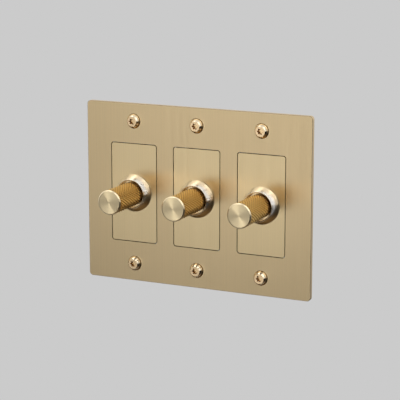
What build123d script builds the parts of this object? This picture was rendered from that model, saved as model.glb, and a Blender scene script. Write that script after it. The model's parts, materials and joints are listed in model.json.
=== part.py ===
from build123d import *
import math
import os

# Three-gang rotary dimmer with a brass face, in millimetres.
# X runs along the row of gangs, Z is up, the front faces -Y and the wall surface is the plane y = 0.
# The origin is the middle of the plate's back rim.

# Layout of the wall box behind the plate
gang_pitch = 46.04
box_screw_span = 83.34
slot_to_plate_screw = 6.75

# Front plate
plate_side_margin = 34.7
plate_end_margin = 11.8
plate_thickness = 3.0
plate_corner_radius = 2.4
plate_edge_round = 0.2
opening_width = 34.1
opening_height = 67.2
opening_corner_radius = 2.0
plate_screw_clearance = 0.3

# Insert plates that fill the openings
insert_gap = 0.45
insert_edge_bevel = 0.1

# Mounting yokes
yoke_thickness = 1.2
yoke_setback = 0.2
yoke_gap = 2.04
yoke_end_margin = 4.6
yoke_corner_radius = 2.0
pocket_margin = 1.0
pocket_corner_radius = 3.0
box_slot_radius = 2.1
box_slot_length = 8.0
thread_clearance = 0.05
fit_clearance = 0.1

# Knobs
knob_radius = 8.25
knob_reach = 35.3
knob_chamfer = 0.75
knob_land = 0.35
knurl_count = 28
knurl_depth = 0.55
knurl_angle = 30.0
set_screw_radius = 1.5
set_screw_offset = 7.0
set_screw_sink = 0.9
hex_key_size = 1.5
hex_key_depth = 1.6

# Collars that clamp the insert plates to the yokes
knob_clearance = 0.95
collar_rim_width = 0.7
collar_flare = 2.7
collar_height = 6.0
collar_land = 0.8
collar_floor = 2.0
collar_bevel = 0.45

# Shafts and the rotary push switches behind them
shaft_radius = 3.0
shaft_flat_depth = 0.5
shaft_engagement = 18.0
shaft_clearance = 0.05
bore_end_gap = 0.3
bush_wall = 2.0
press_travel = 1.2
press_reserve = 0.8
flange_width = 1.0
flange_thickness = 0.8
flange_play = 0.6
tongue_radius = 2.0
tongue_width = 2.6
tongue_clearance = 0.08
tongue_tail = 1.0
control_front_wall = 2.0
control_wall = 4.0
control_corner_radius = 1.0
stroke_clearance = 0.2
wiper_radius = 5.8
wiper_thickness = 2.0
wiper_play = 0.2
plunger_thickness = 1.6
plunger_play = 0.2
spring_room = 2.2
spring_thickness = 0.3
spring_width = 3.0
spring_side_gap = 1.6

# Circuit boards and what they carry
board_thickness = 1.6
board_margin = 1.2
boss_notch = 0.5
triac_width = 10.0
triac_height = 9.0
triac_thickness = 4.4
triac_tab_height = 6.0
triac_tab_thickness = 1.3
triac_gap = 2.0
lead_pitch = 2.54
lead_width = 0.8
lead_thickness = 0.5
rivet_radius = 1.45
rivet_head_radius = 2.4
rivet_head_height = 0.8
choke_radius = 8.0
choke_hole_radius = 4.0
choke_height = 6.0
choke_round = 1.2
choke_offset = 8.5
capacitor_width = 11.0
capacitor_height = 16.0
capacitor_depth = 11.0
capacitor_offset = 8.5
capacitor_round = 0.6
component_height = 8.0

# Rear housings
housing_inset = 1.0
slot_to_housing = 7.67
housing_wall = 1.8
housing_corner_radius = 3.0
rear_room = 13.6
housing_edge_round = 1.0
boss_wall = 0.8
boss_sink = 1.0
rib_width = 1.2
rib_depth = 0.6
rib_count = 5
rib_pitch = 4.5

# Terminal blocks
terminal_width = 24.0
terminal_height = 11.0
terminal_margin = 1.0
terminal_pitch = 7.5
wire_entry = 3.4
wire_entry_depth = 9.0
entry_offset = 2.8
well_offset = 2.6

# Fasteners
plate_screw_radius = 1.7
plate_screw_head_radius = 5.0
plate_screw_head_height = 2.8
plate_screw_top_radius = 3.3
plate_screw_tail = 5.0
lobe_ring_radius = 1.6
lobe_radius = 0.65
lobe_count = 6
lobe_depth = 2.0
housing_screw_radius = 1.4
housing_screw_head_radius = 2.4
housing_screw_head_height = 1.6
terminal_screw_radius = 1.9
terminal_screw_length = 5.0
terminal_screw_sink = 1.0
ground_screw_radius = 1.6
ground_head_radius = 3.2
ground_head_height = 2.4
ground_offset = 14.0
screw_slot_width = 0.8
screw_slot_depth = 0.7

# Places along X and Z
gang_names = ("left", "centre", "right")
gang_places = (-gang_pitch, 0.0, gang_pitch)
plate_screw_span = box_screw_span + 2 * slot_to_plate_screw
plate_width = 2 * gang_pitch + 2 * plate_side_margin
plate_height = plate_screw_span + 2 * plate_end_margin
insert_width = opening_width - 2 * insert_gap
insert_height = opening_height - 2 * insert_gap
yoke_width = gang_pitch - yoke_gap
yoke_height = plate_screw_span + 2 * yoke_end_margin
housing_width = yoke_width - 2 * housing_inset
housing_height = box_screw_span - 2 * slot_to_housing
cavity_width = housing_width - 2 * housing_wall
cavity_height = housing_height - 2 * housing_wall
boss_radius = housing_screw_head_radius + fit_clearance + boss_wall
boss_x = cavity_width / 2 - boss_radius + boss_sink
boss_z = cavity_height / 2 - boss_radius + boss_sink
boss_places = ((boss_x, boss_z), (-boss_x, -boss_z))
plunger_size = 2 * wiper_radius
control_size = plunger_size + 2 * plunger_play + 2 * control_wall
triac_bottom = control_size / 2 + triac_gap
rivet_z = triac_bottom + triac_height + triac_tab_height / 2
terminal_z = -cavity_height / 2 + terminal_margin + terminal_height / 2
terminal_places = (-terminal_pitch, 0.0, terminal_pitch)
ground_place = (ground_offset, -box_screw_span / 2)

# Radii worked out from the knob and the shaft
collar_bore_radius = knob_radius + knob_clearance
collar_rim_radius = collar_bore_radius + collar_rim_width
collar_radius = collar_rim_radius + collar_flare
bush_radius = shaft_radius + bush_wall
flange_radius = shaft_radius + flange_width
bush_hole_radius = bush_radius + fit_clearance
plate_thread_radius = plate_screw_radius + thread_clearance

# Places along Y, from the front to the back
plate_front = -plate_thickness
pocket_floor = -yoke_thickness - yoke_setback
yoke_back = -yoke_setback
knob_tip = plate_front - knob_reach
collar_front = plate_front - collar_height
collar_seat = plate_front - collar_floor
knob_back = collar_seat - press_travel - press_reserve
shaft_front = knob_back - shaft_engagement
set_screw_y = knob_back - set_screw_offset
flange_front = yoke_back + control_front_wall
flange_back = flange_front + flange_thickness
wiper_front = flange_back + press_travel + stroke_clearance
wiper_back = wiper_front + wiper_thickness
plunger_front = wiper_back + tongue_tail
plunger_back = plunger_front + plunger_thickness
control_back = plunger_back + press_travel + spring_room
board_back = control_back + board_thickness
housing_floor = board_back + rear_room
housing_back = housing_floor + housing_wall


def prism(sketch, front, back):
    # A sketch drawn in X and Z, filled from y = front to y = back.
    return extrude(Plane.XZ.offset(-back) * sketch, back - front)


def drum(radius, front, back, x=0.0, z=0.0):
    return prism(Pos(x, z) * Circle(radius), front, back)


def turned(corners):
    # A closed outline of (radius, y) corners, turned about the Y axis.
    return revolve(make_face(Polyline(*corners, close=True)), Axis.Y)


def edges_at(solid, y):
    return solid.edges().filter_by_position(Axis.Y, y, y)


def flat_sided_round(radius, width):
    # A circle with two flats, width apart.
    return Circle(radius) & Rectangle(2 * radius, width)


def make_front_plate():
    blank = prism(RectangleRounded(plate_width, plate_height, plate_corner_radius), plate_front, 0.0)
    blank = fillet(edges_at(blank, plate_front), plate_edge_round)
    pocket_width = 2 * gang_pitch + yoke_width + 2 * pocket_margin
    pocket_height = yoke_height + 2 * pocket_margin
    blank -= prism(RectangleRounded(pocket_width, pocket_height, pocket_corner_radius), pocket_floor, 0.0)
    opening = RectangleRounded(opening_width, opening_height, opening_corner_radius)
    screw_hole_radius = plate_screw_radius + plate_screw_clearance
    for x in gang_places:
        blank -= prism(Pos(x, 0) * opening, plate_front, 0.0)
        for z in (-plate_screw_span / 2, plate_screw_span / 2):
            blank -= drum(screw_hole_radius, plate_front, 0.0, x, z)
    return blank


def make_insert_plate():
    corner_radius = opening_corner_radius - insert_gap
    blank = prism(RectangleRounded(insert_width, insert_height, corner_radius), plate_front, pocket_floor)
    blank = chamfer(edges_at(blank, plate_front), insert_edge_bevel)
    return blank - drum(bush_hole_radius, plate_front, pocket_floor)


def make_yoke():
    outline = RectangleRounded(yoke_width, yoke_height, yoke_corner_radius)
    for z in (-box_screw_span / 2, box_screw_span / 2):
        outline -= Pos(0, z) * SlotOverall(box_slot_length, 2 * box_slot_radius)
    for z in (-plate_screw_span / 2, plate_screw_span / 2):
        outline -= Pos(0, z) * Circle(plate_thread_radius)
    for x, z in boss_places:
        outline -= Pos(x, z) * Circle(housing_screw_radius + thread_clearance)
    outline -= Pos(0, rivet_z) * Circle(rivet_radius + thread_clearance)
    outline -= Pos(*ground_place) * Circle(ground_screw_radius + thread_clearance)
    outline -= Circle(bush_hole_radius)
    return prism(outline, pocket_floor, yoke_back)


def make_collar():
    bore_radius = bush_radius + thread_clearance
    return turned([
        (bore_radius, plate_front),
        (collar_radius, plate_front),
        (collar_radius, plate_front - collar_land),
        (collar_rim_radius, collar_front),
        (collar_bore_radius + collar_bevel, collar_front),
        (collar_bore_radius, collar_front + collar_bevel),
        (collar_bore_radius, collar_seat),
        (bore_radius, collar_seat),
    ])


def make_knurl_band(front, back):
    # A diamond knurl: a grid around the knob whose points stand at the crest and the root by turns.
    # Each cell is split between its two root points, so every crest is the tip of a four-sided pyramid.
    columns = 2 * knurl_count
    row_step = math.pi * knob_radius / knurl_count / math.tan(math.radians(knurl_angle))
    rows = max(2, round((back - front) / row_step))
    root_radius = knob_radius - knurl_depth

    def point(column, row):
        crest = (column + row) % 2 == 0 and 0 < row < rows
        radius = knob_radius if crest else root_radius
        angle = math.pi * (column % columns) / knurl_count
        y = front + (back - front) * row / rows
        return Vector(radius * math.cos(angle), y, radius * math.sin(angle))

    def facet(*corners):
        return Face(Wire.make_polygon(corners))

    facets = []
    for row in range(rows):
        for column in range(columns):
            corners = [
                point(column, row),
                point(column + 1, row),
                point(column + 1, row + 1),
                point(column, row + 1),
            ]
            if (column + row) % 2 == 0:
                facets.append(facet(corners[0], corners[1], corners[3]))
                facets.append(facet(corners[1], corners[2], corners[3]))
            else:
                facets.append(facet(corners[0], corners[1], corners[2]))
                facets.append(facet(corners[0], corners[2], corners[3]))
    for row in (0, rows):
        facets.append(facet(*[point(column, row) for column in range(columns)]))
    return Solid(Shell(facets))


def make_knob():
    band_front = knob_tip + knob_chamfer + knob_land
    knob = make_knurl_band(band_front, knob_back)
    knob += turned([
        (0.0, knob_tip),
        (knob_radius - knob_chamfer, knob_tip),
        (knob_radius, knob_tip + knob_chamfer),
        (knob_radius, band_front),
        (0.0, band_front),
    ])
    bore_radius = shaft_radius + shaft_clearance
    flat_level = shaft_radius - shaft_flat_depth + shaft_clearance
    bore = Circle(bore_radius) - Pos(0, -flat_level - bore_radius) * Rectangle(2 * bore_radius, 2 * bore_radius)
    knob -= prism(bore, shaft_front - bore_end_gap, knob_back)
    hole_plane = Plane((0, set_screw_y, 0), x_dir=(1, 0, 0), z_dir=(0, 0, -1))
    knob -= extrude(hole_plane * Circle(set_screw_radius + thread_clearance), 2 * knob_radius)
    return knob


def make_set_screw():
    inner_end = shaft_radius - shaft_flat_depth
    outer_end = knob_radius - set_screw_sink
    inner_plane = Plane((0, set_screw_y, -inner_end), x_dir=(1, 0, 0), z_dir=(0, 0, -1))
    key_plane = Plane((0, set_screw_y, -outer_end), x_dir=(1, 0, 0), z_dir=(0, 0, 1))
    screw = extrude(inner_plane * Circle(set_screw_radius), outer_end - inner_end)
    return screw - extrude(key_plane * RegularPolygon(hex_key_size / 2, 6, major_radius=False), hex_key_depth)


def make_shaft():
    shaft = drum(shaft_radius, shaft_front, flange_front)
    flat_plane_level = shaft_radius - shaft_flat_depth
    flat = Pos(0, -flat_plane_level - shaft_radius) * Rectangle(2 * shaft_radius, 2 * shaft_radius)
    shaft -= prism(flat, shaft_front, knob_back)
    shaft += drum(flange_radius, flange_front, flange_back)
    return shaft + prism(flat_sided_round(tongue_radius, tongue_width), flange_back, plunger_front)


def make_control_body():
    body = prism(RectangleRounded(control_size, control_size, control_corner_radius), yoke_back, control_back)
    body += drum(bush_radius, collar_seat, yoke_back)
    body -= drum(shaft_radius + shaft_clearance, collar_seat, flange_front)
    body -= drum(flange_radius + flange_play, flange_front, wiper_front)
    body -= drum(wiper_radius + wiper_play, wiper_front - stroke_clearance / 2, wiper_back)
    pocket_size = plunger_size + 2 * plunger_play
    return body - prism(Rectangle(pocket_size, pocket_size), wiper_back, control_back)


def make_wiper():
    hole = flat_sided_round(tongue_radius + tongue_clearance, tongue_width + 2 * tongue_clearance)
    return prism(Circle(wiper_radius) - hole, wiper_front, wiper_back)


def make_switch_plunger():
    return prism(Rectangle(plunger_size, plunger_size), plunger_front, plunger_back)


def make_return_spring():
    # A bowed leaf: its middle carries the plunger and its two ends stand on the circuit board.
    half = plunger_size / 2 - spring_side_gap
    bow = control_back - plunger_back - spring_thickness
    outline = [
        ThreePointArc((control_back, -half), (control_back - bow, 0), (control_back, half)),
        Line((control_back, half), (control_back - spring_thickness, half)),
        ThreePointArc(
            (control_back - spring_thickness, half),
            (plunger_back, 0),
            (control_back - spring_thickness, -half),
        ),
        Line((control_back - spring_thickness, -half), (control_back, -half)),
    ]
    leaf_plane = Plane((-spring_width / 2, 0, 0), x_dir=(0, 1, 0), z_dir=(1, 0, 0))
    return extrude(leaf_plane * make_face(outline), spring_width)


def make_circuit_board():
    outline = Rectangle(cavity_width - 2 * board_margin, cavity_height - 2 * board_margin)
    for x, z in boss_places:
        outline -= Pos(x, z) * Circle(boss_radius + boss_notch)
    return prism(outline, control_back, board_back)


def make_triac():
    body_z = triac_bottom + triac_height / 2
    tab_z = triac_bottom + triac_height + triac_tab_height / 2
    triac = prism(Pos(0, body_z) * Rectangle(triac_width, triac_height), yoke_back, yoke_back + triac_thickness)
    tab = Pos(0, tab_z) * Rectangle(triac_width, triac_tab_height)
    tab -= Pos(0, rivet_z) * Circle(rivet_radius + thread_clearance)
    triac += prism(tab, yoke_back, yoke_back + triac_tab_thickness)
    # Each lead leaves the lower edge of the body and bends back to the board.
    lead_y = yoke_back + triac_thickness / 2
    lead_z = triac_bottom - triac_gap / 2
    for x in (-lead_pitch, 0.0, lead_pitch):
        stub = Pos(x, (triac_bottom + lead_z) / 2) * Rectangle(lead_width, triac_bottom - lead_z)
        triac += prism(stub, lead_y, lead_y + lead_thickness)
        leg = Pos(x, lead_z + lead_thickness / 2) * Rectangle(lead_width, lead_thickness)
        triac += prism(leg, lead_y, control_back)
    return triac


def make_choke():
    ring = drum(choke_radius, board_back, board_back + choke_height)
    ring -= drum(choke_hole_radius, board_back, board_back + choke_height)
    ring = chamfer(edges_at(ring, board_back + choke_height), choke_round)
    return Pos(-choke_offset, 0, component_height) * ring


def make_capacitor():
    body = prism(Rectangle(capacitor_width, capacitor_height), board_back, board_back + capacitor_depth)
    body = chamfer(body.edges().filter_by(Axis.Y), capacitor_round)
    return Pos(capacitor_offset, 0, component_height) * body


def make_terminal_block():
    block = prism(Rectangle(terminal_width, terminal_height), board_back, housing_back)
    entry = Rectangle(wire_entry, wire_entry)
    well_radius = terminal_screw_radius + fit_clearance
    well_floor = housing_back - terminal_screw_sink - terminal_screw_length
    for x in terminal_places:
        block -= prism(Pos(x, -entry_offset) * entry, housing_back - wire_entry_depth, housing_back)
        block -= drum(well_radius, well_floor, housing_back, x, well_offset)
    return Pos(0, 0, terminal_z) * block


def make_rear_housing():
    outer = RectangleRounded(housing_width, housing_height, housing_corner_radius)
    inner = RectangleRounded(cavity_width, cavity_height, housing_corner_radius - housing_wall)
    shell = prism(outer, yoke_back, housing_back)
    shell = fillet(edges_at(shell, housing_back), housing_edge_round)
    shell -= prism(inner, yoke_back, housing_floor)
    for x, z in boss_places:
        shell += drum(boss_radius, yoke_back, housing_floor, x, z)
    # Shallow cooling ribs stand out of grooves cut in the two long sides.
    for side in (-1, 1):
        for step in range(rib_count):
            y = (yoke_back + housing_back) / 2 + (step - (rib_count - 1) / 2) * rib_pitch
            groove = Box(2 * rib_depth, rib_width, cavity_height)
            shell -= Pos(side * housing_width / 2, y, 0) * groove
    head_seat = housing_back - housing_screw_head_height
    for x, z in boss_places:
        shell -= drum(housing_screw_radius + fit_clearance, yoke_back, housing_back, x, z)
        shell -= drum(housing_screw_head_radius + fit_clearance, head_seat, housing_back, x, z)
    window_width = terminal_width + 2 * fit_clearance
    window_height = terminal_height + 2 * fit_clearance
    return shell - prism(Pos(0, terminal_z) * Rectangle(window_width, window_height), housing_floor, housing_back)


def make_plate_screw():
    # A button head on the plate front, with a six-lobed key recess, and a shank through the yoke.
    top = plate_front - plate_screw_head_height
    shoulder = (plate_screw_head_radius + plate_screw_top_radius) / 2
    bulge = (plate_screw_head_radius - plate_screw_top_radius) / 5
    profile = [
        Line((0, plate_front), (plate_screw_head_radius, plate_front)),
        ThreePointArc(
            (plate_screw_head_radius, plate_front),
            (shoulder + bulge, plate_front - plate_screw_head_height / 2 - bulge),
            (plate_screw_top_radius, top),
        ),
        Line((plate_screw_top_radius, top), (0, top)),
        Line((0, top), (0, plate_front)),
    ]
    screw = revolve(make_face(profile), Axis.Y)
    recess = Circle(lobe_ring_radius)
    for place in PolarLocations(lobe_ring_radius, lobe_count):
        recess += place * Circle(lobe_radius)
    screw -= prism(recess, top, top + lobe_depth)
    return screw + drum(plate_screw_radius, plate_front, yoke_back + plate_screw_tail)


def slot_cut(radius, back):
    # The driver slot across a screw head whose face is at y = back.
    return prism(Rectangle(2 * radius, screw_slot_width), back - screw_slot_depth, back)


def make_housing_screw():
    head_seat = housing_back - housing_screw_head_height
    screw = drum(housing_screw_radius, pocket_floor, head_seat)
    screw += drum(housing_screw_head_radius, head_seat, housing_back)
    return screw - slot_cut(housing_screw_head_radius, housing_back)


def make_terminal_screw():
    face = housing_back - terminal_screw_sink
    screw = drum(terminal_screw_radius, face - terminal_screw_length, face)
    return screw - slot_cut(terminal_screw_radius, face)


def make_ground_screw():
    head_back = yoke_back + ground_head_height
    screw = drum(ground_screw_radius, pocket_floor, yoke_back)
    screw += prism(RegularPolygon(ground_head_radius, 6), yoke_back, head_back)
    return screw - slot_cut(ground_head_radius, head_back)


def make_triac_rivet():
    tab_back = yoke_back + triac_tab_thickness
    rivet = drum(rivet_radius, pocket_floor, tab_back)
    return rivet + drum(rivet_head_radius, tab_back, tab_back + rivet_head_height)


def save(name, solids):
    for solid in solids:
        print(name, "volume", round(solid.volume, 2))
    shape = solids[0] if len(solids) == 1 else Compound(children=list(solids))
    export_step(shape, os.path.join("parts", name + ".step"))


os.makedirs("parts", exist_ok=True)
save("front_plate", [make_front_plate()])

gang_pieces = {
    "insert_plate": make_insert_plate(),
    "collar": make_collar(),
    "knob": make_knob(),
    "knob_set_screw": make_set_screw(),
    "shaft": make_shaft(),
    "yoke": make_yoke(),
    "control_body": make_control_body(),
    "wiper": make_wiper(),
    "switch_plunger": make_switch_plunger(),
    "return_spring": make_return_spring(),
    "circuit_board": make_circuit_board(),
    "triac": make_triac(),
    "choke": make_choke(),
    "capacitor": make_capacitor(),
    "terminal_block": make_terminal_block(),
    "rear_housing": make_rear_housing(),
}
for gang, x in zip(gang_names, gang_places):
    for piece, solid in gang_pieces.items():
        save(gang + "_" + piece, [Pos(x, 0, 0) * solid])

plate_screw = make_plate_screw()
housing_screw = make_housing_screw()
terminal_screw = make_terminal_screw()
ground_screw = make_ground_screw()
triac_rivet = make_triac_rivet()
screw_rows = (-plate_screw_span / 2, plate_screw_span / 2)
terminal_row = terminal_z + well_offset
save("plate_screws", [Pos(x, 0, z) * plate_screw for x in gang_places for z in screw_rows])
save("housing_screws", [Pos(x + bx, 0, bz) * housing_screw for x in gang_places for bx, bz in boss_places])
save("terminal_screws", [Pos(x + t, 0, terminal_row) * terminal_screw for x in gang_places for t in terminal_places])
save("ground_screws", [Pos(x + ground_place[0], 0, ground_place[1]) * ground_screw for x in gang_places])
save("triac_rivets", [Pos(x, 0, rivet_z) * triac_rivet for x in gang_places])
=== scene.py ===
import json
import math
import bmesh
import bpy
from mathutils import Matrix, Vector


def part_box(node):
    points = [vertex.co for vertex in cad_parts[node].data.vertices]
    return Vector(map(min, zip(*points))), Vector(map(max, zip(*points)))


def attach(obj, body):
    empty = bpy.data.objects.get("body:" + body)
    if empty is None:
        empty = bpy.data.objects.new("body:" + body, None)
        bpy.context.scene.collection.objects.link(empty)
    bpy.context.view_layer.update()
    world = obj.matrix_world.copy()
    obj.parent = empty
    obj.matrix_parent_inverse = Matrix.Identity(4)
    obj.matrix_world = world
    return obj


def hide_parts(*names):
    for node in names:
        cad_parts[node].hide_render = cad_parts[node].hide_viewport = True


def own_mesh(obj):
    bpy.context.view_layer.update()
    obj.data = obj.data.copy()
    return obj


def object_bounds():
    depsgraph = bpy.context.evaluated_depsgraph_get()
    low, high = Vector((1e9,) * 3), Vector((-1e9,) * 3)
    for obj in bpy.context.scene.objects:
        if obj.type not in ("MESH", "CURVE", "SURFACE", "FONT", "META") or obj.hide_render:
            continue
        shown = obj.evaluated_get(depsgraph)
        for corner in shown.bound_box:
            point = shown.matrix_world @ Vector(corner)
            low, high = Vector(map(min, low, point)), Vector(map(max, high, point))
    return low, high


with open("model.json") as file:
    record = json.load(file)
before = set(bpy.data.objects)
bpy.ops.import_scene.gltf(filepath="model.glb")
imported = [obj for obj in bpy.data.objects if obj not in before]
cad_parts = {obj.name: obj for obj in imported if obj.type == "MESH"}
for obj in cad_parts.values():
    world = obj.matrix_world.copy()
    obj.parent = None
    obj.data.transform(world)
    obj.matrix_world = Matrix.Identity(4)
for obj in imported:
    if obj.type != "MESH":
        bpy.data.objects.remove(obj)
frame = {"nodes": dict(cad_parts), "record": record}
cadLow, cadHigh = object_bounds()  # the CAD box, before any piece is added
nodes = frame["nodes"]
gangs = ("left", "centre", "right")
mm = 0.001
plateLow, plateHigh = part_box("front_plate")
knobLow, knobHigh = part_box("centre_knob")
knobRadius = (knobHigh.x - knobLow.x) / 2
print("frame loaded with", len(nodes), "nodes")


# Node helpers for the finishes

noiseMiddle = (0.3, 0.7)  # where nearly all values of a noise lie
toneStops = (0.32, 0.68)


def newFinish(name, colour, metallic, roughness):
    finish = bpy.data.materials.new(name)
    finish.use_nodes = True
    shader = finish.node_tree.nodes["Principled BSDF"]
    shader.inputs["Base Color"].default_value = (*colour, 1.0)
    shader.inputs["Metallic"].default_value = metallic
    shader.inputs["Roughness"].default_value = roughness
    return finish, finish.node_tree, shader


def addNode(tree, kind, **settings):
    node = tree.nodes.new("ShaderNode" + kind)
    for key, value in settings.items():
        setattr(node, key, value)
    return node


def stretchedNoise(tree, stretch, detail=3.0, coordinates="Object"):
    # noise with the given number of cycles per unit along X, Y and Z
    place = addNode(tree, "TexCoord")
    mapping = addNode(tree, "Mapping")
    mapping.inputs["Scale"].default_value = stretch
    noise = addNode(tree, "TexNoise")
    noise.inputs["Scale"].default_value = 1.0
    noise.inputs["Detail"].default_value = detail
    tree.links.new(place.outputs[coordinates], mapping.inputs["Vector"])
    tree.links.new(mapping.outputs["Vector"], noise.inputs["Vector"])
    return noise.outputs["Fac"]


def remapped(tree, value, source, result=(0.0, 1.0)):
    # a value between the two ends of the source, moved between the two ends of the result
    remap = addNode(tree, "MapRange")
    for end, low, high in (("From", *source), ("To", *result)):
        remap.inputs[end + " Min"].default_value = low
        remap.inputs[end + " Max"].default_value = high
    tree.links.new(value, remap.inputs["Value"])
    return remap.outputs["Result"]


def tone(tree, value, colours, places=toneStops):
    # a value turned into a colour, from the first of two colours to the second
    ramp = addNode(tree, "ValToRGB")
    for stop, place, colour in zip(ramp.color_ramp.elements, places, colours):
        stop.position = place
        stop.color = (*colour, 1.0)
    tree.links.new(value, ramp.inputs["Fac"])
    return ramp.outputs["Color"]


def mixed(tree, factor, first, second):
    # colour that goes from first to second as the factor goes from 0 to 1
    mix = addNode(tree, "Mix", data_type="RGBA")
    tree.links.new(factor, mix.inputs[0])
    for socket, colour in ((mix.inputs[6], first), (mix.inputs[7], second)):
        if isinstance(colour, tuple):
            socket.default_value = (*colour, 1.0)
        else:
            tree.links.new(colour, socket)
    return mix.outputs[2]


def shaded(colour, factors):
    # the colour times each of the factors
    return [tuple(channel * factor for channel in colour) for factor in factors]


def even(cycles):
    return (cycles, cycles, cycles)


# Brushed finish of the front plate and the insert plates

brush = {
    "plate": (0.84, 0.65, 0.378),
    "insert": (0.925, 0.73, 0.422),
    "shades": (0.97, 1.03),
    "roughness": (0.30, 0.36),
    "stretch": 0.85,
    "grain": (3200.0, 3200.0, 7.0),
    "detail": 4.0,
    "upright": (0.0, 0.1, 1.0),  # leans a little, so that it suits the upper rim too
    # painted shade: a near-black brown on the walls in the narrow gaps between the plates
    "gapWallShade": (0.12, 0.065, 0.015),
    # painted shade: a dark brown on the rounded edges between the faces and the walls
    "edge": (0.25, 0.145, 0.04),
    "rim": (0.86, 0.68, 0.43),
    "rimMargin": 4.0 * mm,
    "rimFade": 0.2 * mm,
    "faceFrom": (0.96, 0.99),  # how far to the front a face looks
    "wallTo": (0.02, 0.12),
}


def frontFacing(tree):
    # how far a face looks to the front or the back: 1 on the flat faces, 0 on the walls between them
    place = addNode(tree, "TexCoord")
    split = addNode(tree, "SeparateXYZ")
    size = addNode(tree, "Math", operation="ABSOLUTE")
    tree.links.new(place.outputs["Normal"], split.inputs["Vector"])
    tree.links.new(split.outputs["Y"], size.inputs[0])
    return size.outputs["Value"]


def acrossGrain(tree):
    # direction in the surface that is square to the vertical grain
    place = addNode(tree, "TexCoord")
    across = addNode(tree, "VectorMath", operation="CROSS_PRODUCT")
    across.inputs[1].default_value = brush["upright"]
    tree.links.new(place.outputs["Normal"], across.inputs[0])
    return across.outputs["Vector"]


def nearRim(tree):
    # 1 close to the outline of the front plate, 0 inside it
    place = addNode(tree, "TexCoord")
    size = addNode(tree, "VectorMath", operation="ABSOLUTE")
    inward = addNode(tree, "VectorMath", operation="SUBTRACT")
    margin = brush["rimMargin"]
    inward.inputs[1].default_value = (plateHigh.x - margin, 0.0, plateHigh.z - margin)
    split = addNode(tree, "SeparateXYZ")
    most = addNode(tree, "Math", operation="MAXIMUM")
    tree.links.new(place.outputs["Object"], size.inputs[0])
    tree.links.new(size.outputs["Vector"], inward.inputs[0])
    tree.links.new(inward.outputs["Vector"], split.inputs["Vector"])
    tree.links.new(split.outputs["X"], most.inputs[0])
    tree.links.new(split.outputs["Z"], most.inputs[1])
    return remapped(tree, most.outputs["Value"], (0.0, brush["rimFade"]))


def brushedBrass(name, colour):
    # long vertical grain on the faces, painted shade on the rounded edges and on the dull walls in the
    # narrow gaps, and a clear outer rim
    finish, tree, shader = newFinish(name, colour, 1.0, brush["roughness"][0])
    facing = frontFacing(tree)
    onFace = remapped(tree, facing, brush["faceFrom"])
    offWall = remapped(tree, facing, brush["wallTo"])
    onRim = nearRim(tree)
    grain = stretchedNoise(tree, brush["grain"], brush["detail"])
    faceColour = tone(tree, grain, shaded(colour, brush["shades"]))
    # painted shade on the walls in the narrow gaps; the outer rim keeps a brass colour
    wallColour = mixed(tree, onRim, brush["gapWallShade"], brush["rim"])
    # painted shade on the rounded edges
    sideColour = mixed(tree, offWall, wallColour, brush["edge"])
    tree.links.new(mixed(tree, onFace, sideColour, faceColour), shader.inputs["Base Color"])
    bright = addNode(tree, "Math", operation="MAXIMUM")
    tree.links.new(onFace, bright.inputs[0])
    tree.links.new(onRim, bright.inputs[1])
    tree.links.new(bright.outputs["Value"], shader.inputs["Metallic"])
    roughness = remapped(tree, grain, noiseMiddle, brush["roughness"])
    tree.links.new(roughness, shader.inputs["Roughness"])
    shader.inputs["Specular IOR Level"].default_value = 0.0  # keeps the gap walls dull
    shader.inputs["Anisotropic"].default_value = brush["stretch"]
    tree.links.new(acrossGrain(tree), shader.inputs["Tangent"])
    return finish


# Polished, knurled and spun finishes of the turned pieces. The map "turning" runs outwards from the
# axis in U, in metres, and round it in V, in turns.

swirls = {"stretch": even(900.0), "detail": 2.0, "map": "Object", "shades": (0.97, 1.02)}
rings = {"stretch": (5000.0, 2.0, 1.0), "detail": 3.0, "map": "UV", "shades": (0.97, 1.01)}
fineRings = {"stretch": (9000.0, 3.0, 1.0), "detail": 3.0, "map": "UV", "shades": (0.95, 1.03)}
screwPolish = {"colour": (0.93, 0.79, 0.57), "roughness": (0.16, 0.22), "marks": swirls}
# painted shadow: a dark brown band at the foot of each screw head
screwSkirtShadow = {"colour": (0.20, 0.12, 0.045), "roughness": (0.35, 0.45), "marks": swirls}
screwFace = {"colour": (0.74, 0.55, 0.33), "roughness": (0.24, 0.32), "marks": swirls}
# painted shade: the walls and the bottom of the key's recess take a darker, deeper brass than the head
recessWallShade = {"colour": (0.84, 0.57, 0.28), "roughness": (0.35, 0.5), "marks": swirls}
recessFloorShade = {"colour": (0.74, 0.53, 0.29), "roughness": (0.2, 0.3), "marks": swirls}
collarPolish = {"colour": (0.98, 0.945, 0.89), "roughness": (0.18, 0.23), "marks": rings}
# the front rim, inner bevel and bore take a duller turned brass, darker than the cone, which is also
# painted shade in the bore
boreFinishAndShade = {"colour": (0.80, 0.62, 0.37), "roughness": (0.24, 0.30), "marks": rings}
chamferPolish = {"colour": (0.93, 0.77, 0.50), "roughness": (0.26, 0.32), "marks": rings}
spun = {
    "colour": (0.99, 0.815, 0.505),
    "roughness": (0.34, 0.40),
    "marks": fineRings,
    "stretch": 0.97,
    "lean": 0.95,  # of a full turn
}
knurl = {
    # painted shade: the valleys between the diamonds take a darker, deeper brass than the crests
    "valleyShade": (0.634, 0.388, 0.113),
    "crest": (0.96, 0.70, 0.293),
    "toneStops": (0.1, 0.85),
    "roughness": (0.36, 0.46),
    "grain": 1800.0,
    "detail": 2.0,
    "depth": 0.55 * mm,
}


def polishedBrass(name, polish):
    # fine marks of the polishing cloth or of the tool
    marks = polish["marks"]
    finish, tree, shader = newFinish(name, polish["colour"], 1.0, polish["roughness"][0])
    noise = stretchedNoise(tree, marks["stretch"], marks["detail"], marks["map"])
    roughness = remapped(tree, noise, noiseMiddle, polish["roughness"])
    tree.links.new(roughness, shader.inputs["Roughness"])
    colour = tone(tree, noise, shaded(polish["colour"], marks["shades"]))
    tree.links.new(colour, shader.inputs["Base Color"])
    return finish


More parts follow.
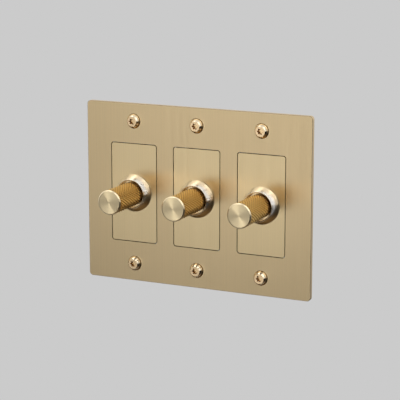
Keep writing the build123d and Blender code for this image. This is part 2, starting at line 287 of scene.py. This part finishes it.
def spunBrass():
    # fine rings that spread the light along the radius
    finish = polishedBrass("spunBrass", spun)
    tree = finish.node_tree
    shader = tree.nodes["Principled BSDF"]
    shader.inputs["Anisotropic"].default_value = spun["stretch"]
    shader.inputs["Anisotropic Rotation"].default_value = spun["lean"]
    tangent = addNode(tree, "Tangent", direction_type="UV_MAP", uv_map="turning")
    tree.links.new(tangent.outputs["Tangent"], shader.inputs["Tangent"])
    return finish


def knurledBrass():
    # painted shade: the colour deepens from the crests of the diamonds to the valleys between them
    finish, tree, shader = newFinish("knurledBrass", knurl["crest"], 1.0, knurl["roughness"][0])
    turning = addNode(tree, "UVMap", uv_map="turning")
    split = addNode(tree, "SeparateXYZ")
    tree.links.new(turning.outputs["UV"], split.inputs["Vector"])
    height = remapped(tree, split.outputs["X"], (knobRadius - knurl["depth"], knobRadius))
    colour = tone(tree, height, (knurl["valleyShade"], knurl["crest"]), knurl["toneStops"])
    tree.links.new(colour, shader.inputs["Base Color"])
    grain = stretchedNoise(tree, even(knurl["grain"]), knurl["detail"])
    roughness = remapped(tree, grain, noiseMiddle, knurl["roughness"])
    tree.links.new(roughness, shader.inputs["Roughness"])
    return finish


# Plain metals and plastics, most of them behind the plate

metal = {
    "metallic": 1.0,
    "shades": (0.85, 1.1),
    "gloss": (0.8, 1.25),
    "bump": 0.02 * mm,
    "strength": 0.2,
}
blackened = {**metal, "metallic": 0.6}
painted = {**metal, "metallic": 0.7}
plastic = {
    "metallic": 0.0,
    "shades": (0.85, 1.15),
    "gloss": (0.9, 1.15),
    "bump": 0.06 * mm,
    "strength": 0.3,
}


def plainFinish(name, stuff, colour, roughness, grain):
    finish, tree, shader = newFinish(name, colour, stuff["metallic"], roughness)
    noise = stretchedNoise(tree, grain)
    tree.links.new(tone(tree, noise, shaded(colour, stuff["shades"])), shader.inputs["Base Color"])
    levels = [roughness * factor for factor in stuff["gloss"]]
    tree.links.new(remapped(tree, noise, noiseMiddle, levels), shader.inputs["Roughness"])
    bump = addNode(tree, "Bump")
    bump.inputs["Strength"].default_value = stuff["strength"]
    bump.inputs["Distance"].default_value = stuff["bump"]
    tree.links.new(noise, bump.inputs["Height"])
    tree.links.new(bump.outputs["Normal"], shader.inputs["Normal"])
    return finish


finishes = {
    "brushed_brass": brushedBrass("brushedPlate", brush["plate"]),
    "polished_brass": polishedBrass("polishedScrew", screwPolish),
    "turned_brass": knurledBrass(),
    "black_steel": plainFinish("blackSteel", blackened, (0.05, 0.05, 0.05), 0.35, even(900.0)),
    "bright_steel": plainFinish("brightSteel", metal, (0.62, 0.62, 0.62), 0.25, (200.0, 4000.0, 200.0)),
    "plated_steel": plainFinish("platedSteel", metal, (0.66, 0.67, 0.65), 0.38, even(300.0)),
    "spring_steel": plainFinish("springSteel", metal, (0.45, 0.45, 0.46), 0.3, (3000.0, 300.0, 300.0)),
    "green_steel": plainFinish("greenSteel", painted, (0.06, 0.32, 0.13), 0.35, even(700.0)),
    "terminal_brass": plainFinish("terminalBrass", metal, (0.72, 0.58, 0.33), 0.3, even(800.0)),
    "black_plastic": plainFinish("blackPlastic", plastic, (0.035, 0.035, 0.037), 0.5, even(2200.0)),
    "grey_plastic": plainFinish("greyPlastic", plastic, (0.26, 0.27, 0.28), 0.5, even(1800.0)),
    "white_plastic": plainFinish("whitePlastic", plastic, (0.8, 0.79, 0.75), 0.45, even(1500.0)),
    "board_laminate": plainFinish("boardLaminate", plastic, (0.05, 0.22, 0.1), 0.35, even(500.0)),
    "moulded_epoxy": plainFinish("mouldedEpoxy", plastic, (0.03, 0.03, 0.032), 0.55, even(2500.0)),
    "wound_wire": plainFinish("woundWire", metal, (0.55, 0.24, 0.08), 0.3, (120.0, 2500.0, 120.0)),
    "film_casing": plainFinish("filmCasing", plastic, (0.5, 0.2, 0.04), 0.25, even(300.0)),
}
insertFinish = brushedBrass("brushedInsert", brush["insert"])

# finishes of the pieces that have several, in the order of their material numbers
screwFinishes = [
    finishes["polished_brass"],
    # painted shade inside the recess
    polishedBrass("recessWallShade", recessWallShade),
    polishedBrass("recessFloorShade", recessFloorShade),
    polishedBrass("screwFace", screwFace),
    # painted shadow at the foot of the head
    polishedBrass("screwSkirtShadow", screwSkirtShadow),
]
collarFinishes = [polishedBrass("polishedCollar", collarPolish), polishedBrass("boredAndShadedCollar", boreFinishAndShade)]
knobFinishes = [finishes["turned_brass"], spunBrass(), polishedBrass("polishedChamfer", chamferPolish)]

for part in frame["record"]["subparts"]:
    node = nodes[part["node"]]
    node.data.materials.clear()
    isInsert = part["node"].endswith("insert_plate")
    node.data.materials.append(insertFinish if isInsert else finishes[part["material_slot"]])
print("finishes made:", len(bpy.data.materials))


# Mesh helpers

weld = 0.004 * mm
ringSlack = 5 * weld
turnSteps = 112


def gangAxis(gang):
    low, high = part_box(gang + "_collar")
    return (low.x + high.x) / 2


def reachFrom(axisX, co):
    return math.hypot(co.x - axisX, co.z)


def turnOutline(bm, outline, axisX, closed):
    # outline holds (radius, y) corners, turned round the gang's own axis
    corners = [bm.verts.new((axisX + radius, y, 0.0)) for radius, y in outline]
    edges = [bm.edges.new(pair) for pair in zip(corners, corners[1:])]
    if closed:
        edges.append(bm.edges.new((corners[-1], corners[0])))
    bmesh.ops.spin(bm, geom=corners + edges, cent=(axisX, 0.0, 0.0), axis=(0.0, 1.0, 0.0),
                   angle=2 * math.pi, steps=turnSteps, use_merge=True)
    bmesh.ops.remove_doubles(bm, verts=bm.verts, dist=weld)


def ringEdges(bm, axisX, radius, y):
    # the edges of one turned corner
    found = []
    for edge in bm.edges:
        onRadius = max(abs(reachFrom(axisX, vert.co) - radius) for vert in edge.verts) < ringSlack
        if onRadius and max(abs(vert.co.y - y) for vert in edge.verts) < weld:
            found.append(edge)
    return found


def roundEdges(bm, edges, size, steps):
    bmesh.ops.bevel(bm, geom=edges, offset=size, offset_type="OFFSET", segments=steps,
                    profile=0.5, affect="EDGES", material=-1)


def picked(items, kind):
    return [item for item in items if isinstance(item, kind)]


def grownRing(bm, edges):
    # pulls a new ring out of a ring of edges, ready to be moved
    grown = bmesh.ops.extrude_edge_only(bm, edges=edges)["geom"]
    verts = picked(grown, bmesh.types.BMVert)
    ends = set(verts)
    outer = [edge for edge in picked(grown, bmesh.types.BMEdge) if ends.issuperset(edge.verts)]
    return verts, outer, picked(grown, bmesh.types.BMFace)


def joinInto(bm, extra):
    joined = bpy.data.meshes.new("joined")
    extra.to_mesh(joined)
    extra.free()
    bm.from_mesh(joined)
    bpy.data.meshes.remove(joined)


def closedMesh(bm, name, finishList):
    bmesh.ops.remove_doubles(bm, verts=bm.verts, dist=weld)
    bmesh.ops.recalc_face_normals(bm, faces=bm.faces)
    mesh = bpy.data.meshes.new(name)
    bm.to_mesh(mesh)
    bm.free()
    for finish in finishList:
        mesh.materials.append(finish)
    return mesh


def mapTurning(mesh, axisX):
    layer = mesh.uv_layers.new(name="turning")
    for face in mesh.polygons:
        middle = math.atan2(face.center.z, face.center.x - axisX)
        for loop in face.loop_indices:
            co = mesh.vertices[mesh.loops[loop].vertex_index].co
            reach = reachFrom(axisX, co)
            turn = math.atan2(co.z, co.x - axisX) if reach > weld else middle
            turn += 2 * math.pi * round((middle - turn) / (2 * math.pi))
            layer.data[loop].uv = (reach, turn / (2 * math.pi))


def addPiece(mesh, body, replaced, sharpAngle):
    mesh.shade_smooth()
    mesh.set_sharp_from_angle(angle=math.radians(sharpAngle))
    piece = bpy.data.objects.new(mesh.name, mesh)
    bpy.context.scene.collection.objects.link(piece)
    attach(piece, body)
    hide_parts(replaced)
    return piece


# Collars

collar = {
    "land": 0.8 * mm,
    "flare": 2.7 * mm,
    "rim": 0.7 * mm,
    "bevel": 0.45 * mm,
    "floor": 2.0 * mm,
    "threadRadius": 5.05 * mm,
    "edgeRound": 0.15 * mm,
    "roundSteps": 3,
    "sharpAngle": 25.0,
}

for gang in gangs:
    low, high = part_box(gang + "_collar")
    axisX = gangAxis(gang)
    baseRadius = (high.x - low.x) / 2
    rimRadius = baseRadius - collar["flare"]
    boreRadius = rimRadius - collar["rim"]
    outline = [
        (collar["threadRadius"], high.y),
        (baseRadius, high.y),
        (baseRadius, high.y - collar["land"]),
        (rimRadius, low.y),
        (boreRadius + collar["bevel"], low.y),
        (boreRadius, low.y + collar["bevel"]),
        (boreRadius, high.y - collar["floor"]),
        (collar["threadRadius"], high.y - collar["floor"]),
    ]
    bm = bmesh.new()
    turnOutline(bm, outline, axisX, True)
    soft = []
    for radius, y in outline[2:4]:
        soft += ringEdges(bm, axisX, radius, y)
    roundEdges(bm, soft, collar["edgeRound"], collar["roundSteps"])
    for face in bm.faces:
        # the front rim, inner bevel and bore get the duller brass with painted shade
        face.material_index = 1 if reachFrom(axisX, face.calc_center_median()) < rimRadius else 0
    mesh = closedMesh(bm, gang + "CollarTurned", collarFinishes)
    mapTurning(mesh, axisX)
    addPiece(mesh, "base", gang + "_collar", collar["sharpAngle"])
print("collars turned")


# Knobs

knob = {
    "chamfer": 0.75 * mm,
    "land": 0.35 * mm,
    "knurls": 28,
    "knurlAngle": 30.0,
    "crestFlat": 0.08 * mm,
    "boreRadius": 3.05 * mm,
    "boreDepth": 18.3 * mm,
    "boreFlat": 2.55 * mm,
    "edgeRound": 0.12 * mm,
    "roundSteps": 2,
    "faceRings": 10,
    "spunDepth": 0.0375 * mm,
    "screwClearance": 0.05 * mm,
    "holeSteps": 48,
    "sharpAngle": 25.0,
}


def turnedKnurl(bm, axisX, radius, front, back):
    # rows of points that stand at the crest and the root by turns, so each crest tops a small pyramid
    columns = 2 * knob["knurls"]
    root = radius - knurl["depth"]
    rowStep = math.pi * radius / knob["knurls"] / math.tan(math.radians(knob["knurlAngle"]))
    rows = round((back - front) / rowStep)
    ring = bmesh.ops.create_circle(bm, segments=columns, radius=root)["verts"]
    upright = Matrix.Rotation(math.pi / 2, 3, "X")
    bmesh.ops.rotate(bm, verts=ring, cent=(0.0, 0.0, 0.0), matrix=upright)
    bmesh.ops.translate(bm, verts=ring, vec=(axisX, front, 0.0))
    edges = bm.edges[:]
    ends = edges[:]
    for row in range(rows):
        ring, edges = grownRing(bm, edges)[:2]
        bmesh.ops.translate(bm, verts=ring, vec=(0.0, (back - front) / rows, 0.0))
    for vert in bm.verts:
        row = round((vert.co.y - front) * rows / (back - front))
        column = round(math.atan2(vert.co.z, vert.co.x - axisX) * columns / (2 * math.pi))
        if 0 < row < rows and (column + row) % 2 == 0:
            vert.co.x = axisX + (vert.co.x - axisX) * radius / root
            vert.co.z *= radius / root
    # the two end rings get as many points as the turned ends that they meet
    halved = bmesh.ops.subdivide_edges(bm, edges=ends + edges, cuts=turnSteps // columns - 1)["geom_inner"]
    for vert in picked(halved, bmesh.types.BMVert):
        reach = reachFrom(axisX, vert.co)
        vert.co.x = axisX + (vert.co.x - axisX) * root / reach
        vert.co.z *= root / reach
    bmesh.ops.triangulate(bm, faces=bm.faces[:], quad_method="SHORT_EDGE")
    crests = [vert for vert in bm.verts if reachFrom(axisX, vert.co) > radius - weld]
    bmesh.ops.bevel(bm, geom=crests, offset=knob["crestFlat"], offset_type="OFFSET", segments=1,
                    profile=0.5, affect="VERTICES", material=-1)


def turnedHead(axisX, radius, tip, bandFront):
    # spun end face, polished chamfer and land
    faceRadius = radius - knob["chamfer"]
    steps = knob["faceRings"]
    outline = [(faceRadius * step / steps, tip) for step in range(steps + 1)]
    outline += [(radius, tip + knob["chamfer"]), (radius, bandFront), (radius - knurl["depth"], bandFront)]
    head = bmesh.new()
    turnOutline(head, outline, axisX, False)
    soft = ringEdges(head, axisX, faceRadius, tip)
    soft += ringEdges(head, axisX, radius, tip + knob["chamfer"])
    roundEdges(head, soft, knob["edgeRound"], knob["roundSteps"])
    for face in head.faces:
        face.material_index = 1 if face.calc_center_median().y < tip + knob["spunDepth"] else 2
    return head


def turnedTail(axisX, radius, back):
    # back face and the bore for the shaft, with its flat below
    tail = bmesh.new()
    boreEnd = back - knob["boreDepth"]
    outline = [
        (radius - knurl["depth"], back),
        (knob["boreRadius"], back),
        (knob["boreRadius"], boreEnd),
        (0.0, boreEnd),
    ]
    turnOutline(tail, outline, axisX, False)
    for vert in tail.verts:
        if reachFrom(axisX, vert.co) < knob["boreRadius"] + weld:
            vert.co.z = max(vert.co.z, -knob["boreFlat"])
    for face in tail.faces:
        face.material_index = 2
    return tail


def cutScrewHole(mesh, gang):
    # the set screw's hole, from the bore down through the knurl
    low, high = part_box(gang + "_knob_set_screw")
    holeRadius = (high.x - low.x) / 2 + knob["screwClearance"]
    drum = bmesh.new()
    bmesh.ops.create_cone(drum, cap_ends=True, segments=knob["holeSteps"], radius1=holeRadius,
                          radius2=holeRadius, depth=knobRadius)
    middle = ((low.x + high.x) / 2, (low.y + high.y) / 2, -knob["boreFlat"] / 2 - knobRadius / 2)
    bmesh.ops.translate(drum, verts=drum.verts, vec=middle)
    for face in drum.faces:
        face.material_index = 2
    drumMesh = bpy.data.meshes.new("drum")
    drum.to_mesh(drumMesh)
    drum.free()
    cutter = bpy.data.objects.new("drum", drumMesh)
    blank = bpy.data.objects.new("blank", mesh)
    for item in (cutter, blank):
        bpy.context.scene.collection.objects.link(item)
    hole = blank.modifiers.new("hole", "BOOLEAN")
    hole.operation = "DIFFERENCE"
    hole.solver = "EXACT"
    hole.object = cutter
    cut = bpy.data.meshes.new_from_object(blank.evaluated_get(bpy.context.evaluated_depsgraph_get()))
    name = mesh.name
    for item in (cutter, blank):
        bpy.data.objects.remove(item)
    for spent in (drumMesh, mesh):
        bpy.data.meshes.remove(spent)
    cut.name = name
    return cut


for gang in gangs:
    low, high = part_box(gang + "_knob")
    axisX = gangAxis(gang)
    bandFront = low.y + knob["chamfer"] + knob["land"]
    bm = bmesh.new()
    turnedKnurl(bm, axisX, knobRadius, bandFront, high.y)
    joinInto(bm, turnedHead(axisX, knobRadius, low.y, bandFront))
    joinInto(bm, turnedTail(axisX, knobRadius, high.y))
    mesh = cutScrewHole(closedMesh(bm, gang + "KnobTurned", knobFinishes), gang)
    mapTurning(mesh, axisX)
    addPiece(mesh, gang + "_knob", gang + "_knob", knob["sharpAngle"])
print("knobs knurled")


# Plate screws

screw = {
    "headRadius": 5.0 * mm,
    "headHeight": 2.8 * mm,
    "topRadius": 3.3 * mm,
    "recessRadius": 1.92 * mm,
    "lobeWave": 0.33 * mm,
    "lobes": 6,
    "recessBevel": 0.10 * mm,
    "recessDepth": 2.0 * mm,
    "shankRadius": 1.7 * mm,
    "sideSteps": 10,
    "skirt": 0.6 * mm,
    "bulge": 0.14 * mm,
    "sharpAngle": 35.0,
}


def moveToLobes(ring, axisX, inset, y):
    # a ring of points, drawn in to the six-lobed outline of the key
    for vert in ring:
        turn = math.atan2(vert.co.z, vert.co.x - axisX)
        reach = screw["recessRadius"] - inset + screw["lobeWave"] * math.cos(screw["lobes"] * turn)
        vert.co = (axisX + reach * math.cos(turn), y, reach * math.sin(turn))


def turnedScrew(axisX, seat, tail):
    outline = []
    for step in range(screw["sideSteps"] + 1):
        part = step / screw["sideSteps"]
        swell = screw["bulge"] * math.sin(math.pi * part)
        radius = screw["topRadius"] + (screw["headRadius"] - screw["topRadius"]) * part
        outline.append((radius + swell, seat - screw["headHeight"] * (1.0 - part) - swell))
    outline += [(screw["shankRadius"], seat), (screw["shankRadius"], tail), (0.0, tail)]
    head = bmesh.new()
    turnOutline(head, outline, axisX, False)
    top = seat - screw["headHeight"]
    ring, edges, flat = grownRing(head, ringEdges(head, axisX, screw["topRadius"], top))
    moveToLobes(ring, axisX, 0.0, top)
    ring, edges = grownRing(head, edges)[:2]
    moveToLobes(ring, axisX, screw["recessBevel"], top + screw["recessBevel"])
    ring, edges, walls = grownRing(head, edges)
    moveToLobes(ring, axisX, screw["recessBevel"], top + screw["recessDepth"])
    bottom = bmesh.ops.edgeloop_fill(head, edges=edges)["faces"]
    # painted shadow on the faces at the foot of the head
    skirt = [face for face in head.faces if seat - screw["skirt"] < face.calc_center_median().y < seat]
    # the walls and the bottom of the recess take finishes with painted shade
    for number, faces in enumerate((walls, bottom, flat, skirt), 1):
        for face in faces:
            face.material_index = number
    return head


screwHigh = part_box("plate_screws")[1]
screwRow = screwHigh.z - screw["headRadius"]
bm = bmesh.new()
for gang in gangs:
    for rowZ in (-screwRow, screwRow):
        head = turnedScrew(gangAxis(gang), plateLow.y, screwHigh.y)
        bmesh.ops.translate(head, verts=head.verts, vec=(0.0, 0.0, rowZ))
        joinInto(bm, head)
mesh = closedMesh(bm, "plateScrewsTurned", screwFinishes)
addPiece(mesh, "base", "plate_screws", screw["sharpAngle"])
print("plate screws turned")


# Return springs, bowed leaves that the knob's push would flatten, made here in their resting bow

leaf = {
    "thickness": 0.3 * mm,
    "steps": 24,
    "travel": 1.2 * mm,
    "clearance": 0.01 * mm,
    "sharpAngle": 35.0,
}

for gang in gangs:
    low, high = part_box(gang + "_return_spring")
    rise = high.y - low.y - leaf["thickness"]
    bend = (high.z ** 2 + rise ** 2) / (2 * rise)
    bm = bmesh.new()
    corners = []
    for step in range(leaf["steps"] + 1):
        z = low.z + (high.z - low.z) * step / leaf["steps"]
        corners.append(bm.verts.new((low.x, low.y + bend - math.sqrt(bend ** 2 - z ** 2), z)))
    side = [bm.edges.new(pair) for pair in zip(corners, corners[1:])]
    ring, _, strip = grownRing(bm, side)
    bmesh.ops.translate(bm, verts=ring, vec=(high.x - low.x, 0.0, 0.0))
    grown = bmesh.ops.extrude_face_region(bm, geom=strip)["geom"]
    backs = picked(grown, bmesh.types.BMVert)
    bmesh.ops.translate(bm, verts=backs, vec=(0.0, leaf["thickness"], 0.0))
    mesh = closedMesh(bm, gang + "ReturnSpringBowed", [finishes["spring_steel"]])
    piece = addPiece(mesh, "base", gang + "_return_spring", leaf["sharpAngle"])
    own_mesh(piece)
print("return springs bowed")


# Camera

shot = {
    "target": (2.529 * mm, plateLow.y, -0.493 * mm),
    "azimuth": 25.382,
    "elevation": 12.061,
    "distance": 1.06377,
    "lens": 146.256,
    "sensor": 36.0,
}


def towards(azimuth, elevation):
    # direction from the front of the plate, turned to the right and then raised, in degrees
    turn = math.radians(azimuth)
    lift = math.radians(elevation)
    return Vector((math.sin(turn) * math.cos(lift), -math.cos(turn) * math.cos(lift), math.sin(lift)))


cameraData = bpy.data.cameras.new("camera")
cameraData.lens = shot["lens"]
cameraData.sensor_width = shot["sensor"]
camera = bpy.data.objects.new("camera", cameraData)
bpy.context.scene.collection.objects.link(camera)
outward = towards(shot["azimuth"], shot["elevation"])
camera.location = Vector(shot["target"]) + outward * shot["distance"]
camera.rotation_mode = "QUATERNION"
camera.rotation_quaternion = (-outward).to_track_quat("-Z", "Y")
bpy.context.scene.camera = camera
bpy.context.scene.view_settings.view_transform = "Standard"
print("camera set")


# Floor and light

def grey(level):
    return (level, level, level)


studio = {
    "paper": 0.597,
    "floorDrop": 0.5,
    "floorSize": 60.0,
    "floorSteps": 4,
    "distance": 1.2,
    "turnover": (0.0, 0.1),  # where the dome goes from its front light to its back light
}
dome = {
    "front": (
        (0.0, (0.14, 0.09, 0.043)),
        (0.05, (0.14, 0.09, 0.043)),
        (0.17, (0.03, 0.018, 0.008)),
        (0.27, grey(0.0)),
        (0.90, grey(0.0)),
        (0.94, grey(0.85)),
        (1.0, grey(0.85)),
    ),
    "back": (
        (0.0, grey(0.3)),
        (0.35, grey(0.3)),
        (0.45, grey(0.7)),
        (1.0, grey(0.7)),
    ),
}  # light from below (0) to above (1)
softBoxes = {
    "panel": {"azimuth": -21.0, "elevation": 1.0, "spread": (24.0, 16.0), "light": 1.42},
    "panelRight": {"azimuth": -1.0, "elevation": 0.0, "spread": (16.0, 16.0), "light": 0.5},
    "panelUpper": {"azimuth": -26.0, "elevation": 17.0, "spread": (28.0, 16.0), "light": 1.95},
    "panelMiddle": {"azimuth": -21.0, "elevation": -11.0, "spread": (26.0, 8.0), "light": 1.05},
    "panelLow": {"azimuth": -25.0, "elevation": -22.0, "spread": (16.0, 14.0), "light": 0.85},
    "panelLowRight": {"azimuth": -10.0, "elevation": -16.0, "spread": (22.0, 16.0), "light": 0.5},
    "topLeft": {"azimuth": -60.0, "elevation": 53.0, "spread": (36.0, 38.0), "light": 1.25},
    "left": {"azimuth": -66.0, "elevation": 14.0, "spread": (24.0, 30.0), "light": 0.75},
    "leftFar": {"azimuth": -95.0, "elevation": 25.0, "spread": (30.0, 50.0), "light": 0.55},
    "right": {"azimuth": 50.0, "elevation": 31.0, "spread": (40.0, 24.0), "light": 1.65},
    "rightFar": {"azimuth": 83.0, "elevation": 28.0, "spread": (24.0, 50.0), "light": 0.65},
    "rightTop": {"azimuth": 45.0, "elevation": 54.0, "spread": (40.0, 18.0), "light": 1.5},
    "rightLow": {"azimuth": 62.0, "elevation": 8.0, "spread": (30.0, 14.0), "light": 1.0},
}  # directions and spreads in degrees, as seen from the plate
paperColour = (*grey(studio["paper"]), 1.0)


def levelRamp(tree, height, levels):
    ramp = addNode(tree, "ValToRGB")
    stops = ramp.color_ramp.elements
    for position, level in levels[1:-1]:
        stops.new(position).color = (*level, 1.0)
    stops[0].color = (*levels[0][1], 1.0)
    stops[-1].color = (*levels[-1][1], 1.0)
    tree.links.new(height, ramp.inputs["Fac"])
    return ramp.outputs["Color"]


floorMesh = bpy.data.meshes.new("floor")
bm = bmesh.new()
bmesh.ops.create_grid(bm, x_segments=studio["floorSteps"], y_segments=studio["floorSteps"],
                      size=studio["floorSize"] / 2)
bmesh.ops.translate(bm, verts=bm.verts, vec=(0.0, 0.0, cadLow.z - studio["floorDrop"]))
bm.to_mesh(floorMesh)
bm.free()
floor = bpy.data.objects.new("floor", floorMesh)
bpy.context.scene.collection.objects.link(floor)
paper = bpy.data.materials.new("paper")
paper.use_nodes = True
paper.node_tree.nodes.clear()
paperLight = addNode(paper.node_tree, "Emission")
paperLight.inputs["Color"].default_value = paperColour
paperOut = addNode(paper.node_tree, "OutputMaterial")
paper.node_tree.links.new(paperLight.outputs["Emission"], paperOut.inputs["Surface"])
floorMesh.materials.append(paper)
floor.visible_glossy = False
floor.visible_diffuse = False
floor.visible_shadow = False

world = bpy.data.worlds.new("studio")
bpy.context.scene.world = world
world.use_nodes = True
tree = world.node_tree
tree.nodes.clear()
direction = addNode(tree, "TexCoord")
split = addNode(tree, "SeparateXYZ")
tree.links.new(direction.outputs["Generated"], split.inputs["Vector"])
height = remapped(tree, split.outputs["Z"], (-1.0, 1.0))
behind = remapped(tree, split.outputs["Y"], studio["turnover"])
frontLight = levelRamp(tree, height, dome["front"])
backLight = levelRamp(tree, height, dome["back"])
domeLight = addNode(tree, "Background")
tree.links.new(mixed(tree, behind, frontLight, backLight), domeLight.inputs["Color"])
backdrop = addNode(tree, "Background")
backdrop.inputs["Color"].default_value = paperColour
rays = addNode(tree, "LightPath")
pick = addNode(tree, "MixShader")
worldOut = addNode(tree, "OutputWorld")
tree.links.new(rays.outputs["Is Camera Ray"], pick.inputs["Fac"])
tree.links.new(domeLight.outputs["Background"], pick.inputs[1])
tree.links.new(backdrop.outputs["Background"], pick.inputs[2])
tree.links.new(pick.outputs["Shader"], worldOut.inputs["Surface"])

for name, softBox in softBoxes.items():
    light = bpy.data.lights.new(name, "AREA")
    light.shape = "RECTANGLE"
    light.size, light.size_y = [2 * studio["distance"] * math.tan(math.radians(angle / 2))
                                for angle in softBox["spread"]]
    light.energy = softBox["light"] * math.pi * light.size * light.size_y
    lamp = bpy.data.objects.new(name, light)
    outward = towards(softBox["azimuth"], softBox["elevation"])
    lamp.location = outward * studio["distance"]
    lamp.rotation_mode = "QUATERNION"
    lamp.rotation_quaternion = (-outward).to_track_quat("-Z", "Y")
    lamp.visible_camera = False
    bpy.context.scene.collection.objects.link(lamp)
print("floor and light set")
